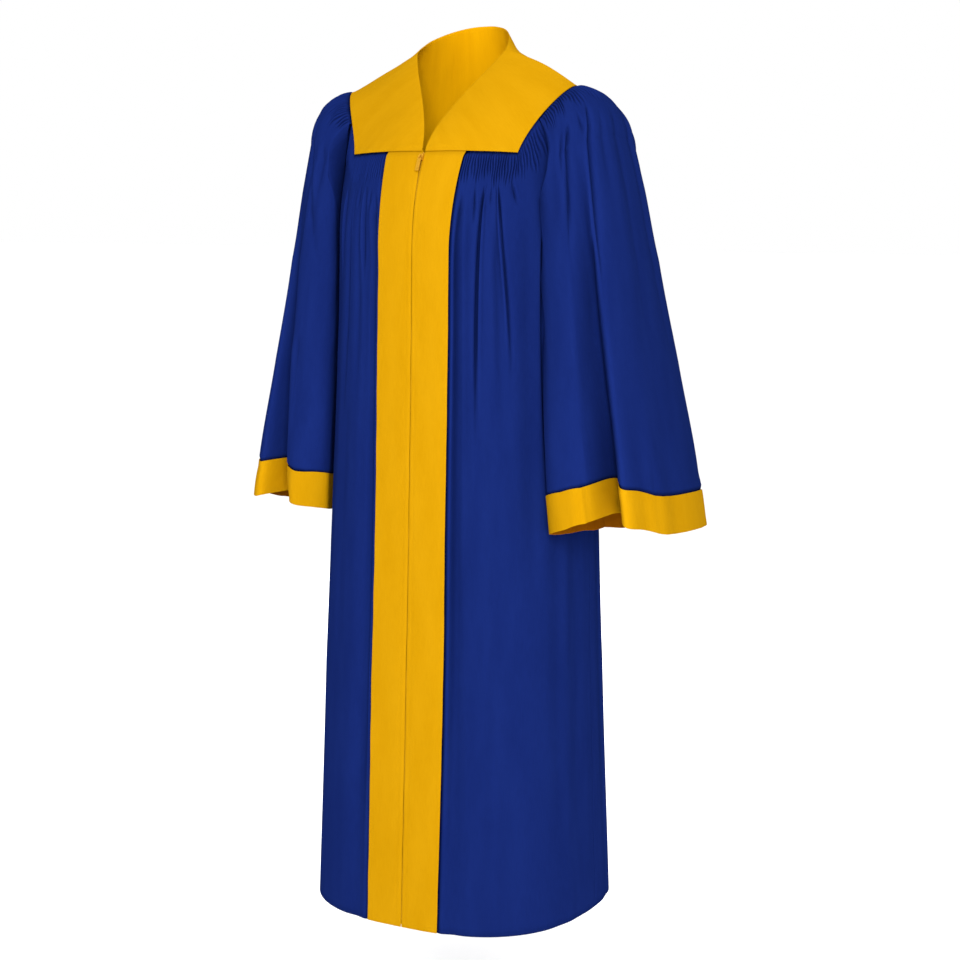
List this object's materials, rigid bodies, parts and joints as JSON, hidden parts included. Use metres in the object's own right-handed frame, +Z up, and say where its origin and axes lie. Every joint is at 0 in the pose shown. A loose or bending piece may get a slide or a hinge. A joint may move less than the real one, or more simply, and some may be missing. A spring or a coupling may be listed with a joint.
{
  "type": "choir robe",
  "caption": "Hollow choir robe filled out as if worn: blue cloth gathered into a gold yoke with an open V neck, gold front bands over a closed zip, and wide open sleeves with gold cuffs.",
  "frame": {"origin": "on the shoulder line at the base of the neck, between the wearer's shoulders, where the wearer carries the robe", "axes": "+Z up, -Y to the wearer's front, +X to the wearer's left"},
  "size_m": [0.7486, 0.4458, 1.3951],
  "materials": {
    "gold_cloth": "satin-backed plain weave",
    "blue_cloth": "matt plain weave",
    "gold_metal": "satin"
  },
  "bodies": {
    "robe": {"yoke_front_right": "gold_cloth", "yoke_front_left": "gold_cloth", "yoke_back": "gold_cloth", "front_band_right": "gold_cloth", "front_band_left": "gold_cloth", "front_right": "blue_cloth", "front_left": "blue_cloth", "back": "blue_cloth", "sleeve_right": "blue_cloth", "sleeve_left": "blue_cloth", "cuff_right": "gold_cloth", "cuff_left": "gold_cloth", "zip_tape": "gold_cloth", "zip_slider": "gold_metal"},
    "zip_pull": {"zip_pull_tab": "gold_metal"}
  },
  "joints": [
    {"name": "zip_pull_hinge", "type": "hinge", "parent": "robe", "child": "zip_pull", "pos_m": [0, -0.12829, -0.15067], "axis": [-1, 0, 0], "range_deg": [0, 140]}
  ]
}
